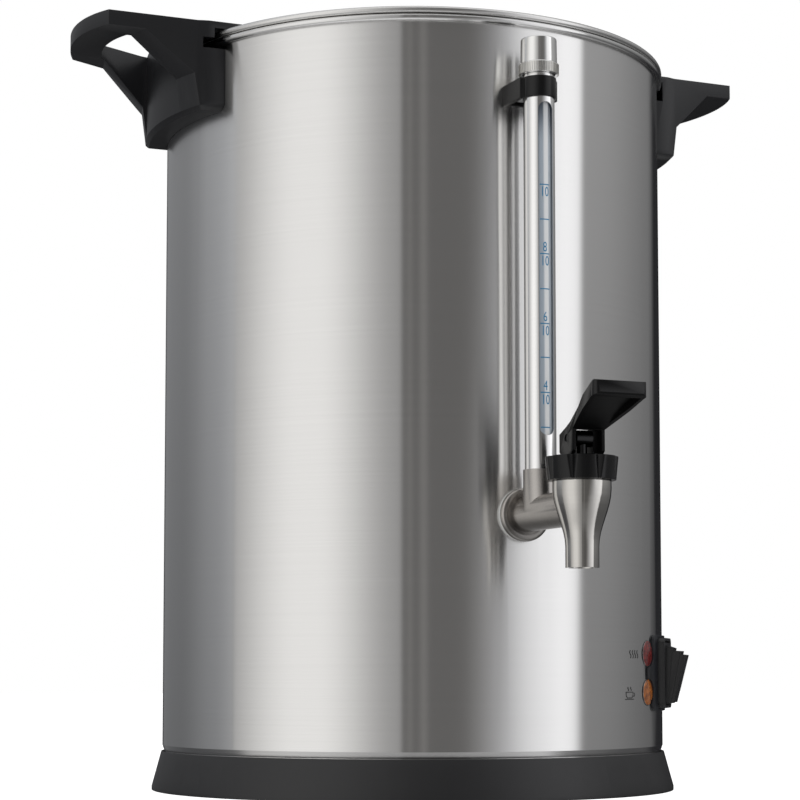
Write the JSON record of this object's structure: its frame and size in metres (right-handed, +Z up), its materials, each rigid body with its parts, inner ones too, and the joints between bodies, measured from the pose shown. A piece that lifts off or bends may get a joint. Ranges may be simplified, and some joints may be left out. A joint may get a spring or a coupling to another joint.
{
  "type": "coffee urn",
  "caption": "Percolating coffee urn with a non-drip lever tap, a sight gauge, side handles, a lift-off lid with basket and pump tube, pilot lamps and a rocker switch.",
  "frame": {"origin": "on the body's axis, at the surface that the base ring stands on", "axes": "+Z up, the tap points towards -Y, the two handles lie along +X and -X, and the lamps and switch are between the tap and the +X handle"},
  "size_m": [0.448, 0.4495, 0.4906],
  "materials": {
    "brushed_shell": "fine lines brushed round the body, satin",
    "tank_steel": "plain rolled stainless sheet",
    "lid_steel": "spun stainless sheet, satin",
    "satin_steel": "fine bead-blasted satin",
    "guard_steel": "drawn tube, fine satin",
    "polished_cap": "polished",
    "screw_steel": "bright screws and pins",
    "element_sheath": "heat-tinted sheath",
    "black_base": "fine matt grain",
    "black_handle": "fine matt grain, soft edges",
    "black_tap": "smooth, slightly glossy",
    "black_gland": "moulded",
    "black_panel": "smooth satin",
    "black_switch": "soft matt moulding",
    "black_rubber": "seal rubber",
    "silicone_white": "silicone",
    "silicone_red": "silicone",
    "moulded_brown": "phenolic moulding",
    "ceramic": "glazed ceramic",
    "gauge_glass": "clear glass tube with a pale blue scale",
    "lamp_red": "tinted lens",
    "lamp_amber": "tinted lens"
  },
  "bodies": {
    "urn": {"body_shell": "brushed_shell", "tank_floor": "tank_steel", "boiling_element": "element_sheath", "keep_warm_element": "element_sheath", "thermostat": "moulded_brown", "thermal_cutout": "ceramic", "terminal_block": "ceramic", "base_ring": "black_base", "bottom_plate": "tank_steel", "plate_screws": "screw_steel", "cord_gland": "black_gland", "gland_nut": "black_gland", "handle_left": "black_handle", "handle_right": "black_handle", "handle_screws": "screw_steel", "tap_gasket": "silicone_white", "tap_inner_gasket": "silicone_white", "tap_shank": "satin_steel", "tap_lock_nut": "satin_steel", "tap_body": "satin_steel", "tap_bonnet": "black_tap", "bonnet_seal": "silicone_red", "tap_spring": "screw_steel", "gauge_guard": "guard_steel", "gauge_glass": "gauge_glass", "gauge_lower_seal": "black_rubber", "gauge_clip": "black_tap", "control_panel": "black_panel", "lamp_red": "lamp_red", "lamp_amber": "lamp_amber", "lamp_bezels": "polished_cap", "switch_housing": "black_switch"},
    "lid": {"lid": "lid_steel", "lid_knob": "black_handle", "knob_screw": "screw_steel"},
    "percolator": {"pump_tube": "tank_steel", "pump_foot": "tank_steel", "coffee_basket": "tank_steel"},
    "pump_valve": {"pump_valve": "tank_steel"},
    "basket_cover": {"basket_cover": "tank_steel"},
    "tap_valve": {"tap_stem": "screw_steel", "seat_cup": "silicone_red", "lever_pin": "screw_steel"},
    "tap_lever": {"tap_lever": "black_tap"},
    "gauge_seal": {"gauge_upper_seal": "black_rubber"},
    "gauge_cap": {"gauge_cap": "polished_cap"},
    "rocker": {"switch_rocker": "black_switch"}
  },
  "joints": [
    {"name": "lid_lift", "type": "slide", "parent": "urn", "child": "lid", "axis": [0, 0, 1], "range_m": [0, 0.24]},
    {"name": "percolator_lift", "type": "slide", "parent": "urn", "child": "percolator", "axis": [0, 0, 1], "range_m": [0, 0.121]},
    {"name": "cover_lift", "type": "slide", "parent": "percolator", "child": "basket_cover", "axis": [0, 0, 1], "range_m": [0, 0.061]},
    {"name": "pump_valve_lift", "type": "slide", "parent": "percolator", "child": "pump_valve", "axis": [0, 0, 1], "range_m": [0, 0.003]},
    {"name": "valve_lift", "type": "slide", "parent": "urn", "child": "tap_valve", "axis": [0, 0, 1], "range_m": [0, 0.0026], "stiffness_N_per_m": 800, "springref_m": -0.006, "deforming": ["tap_spring"]},
    {"name": "lever_press", "type": "hinge", "parent": "tap_valve", "child": "tap_lever", "pos_m": [0, -0.23, 0.2], "axis": [1, 0, 0], "range_deg": [0, 25]},
    {"name": "seal_lift", "type": "slide", "parent": "urn", "child": "gauge_seal", "axis": [0, 0, 1], "range_m": [0, 0.003]},
    {"name": "cap_turn", "type": "hinge", "parent": "gauge_seal", "child": "gauge_cap", "pos_m": [0, -0.181, 0.425], "axis": [0, 0, 1], "range_deg": [0, 1080]},
    {"name": "rocker_press", "type": "hinge", "parent": "urn", "child": "rocker", "pos_m": [0.12756, -0.09823, 0.0726], "axis": [-0.6101, -0.7923, 0], "range_deg": [0, 28.4]}
  ],
  "couplings": [
    {"joint": "percolator_lift", "follows": "lid_lift", "ratio": 0.5},
    {"joint": "cover_lift", "follows": "lid_lift", "ratio": 0.25},
    {"joint": "lever_press", "follows": "valve_lift", "rad_per_m": 167.8},
    {"joint": "cap_turn", "follows": "seal_lift", "rad_per_m": 6283}
  ]
}
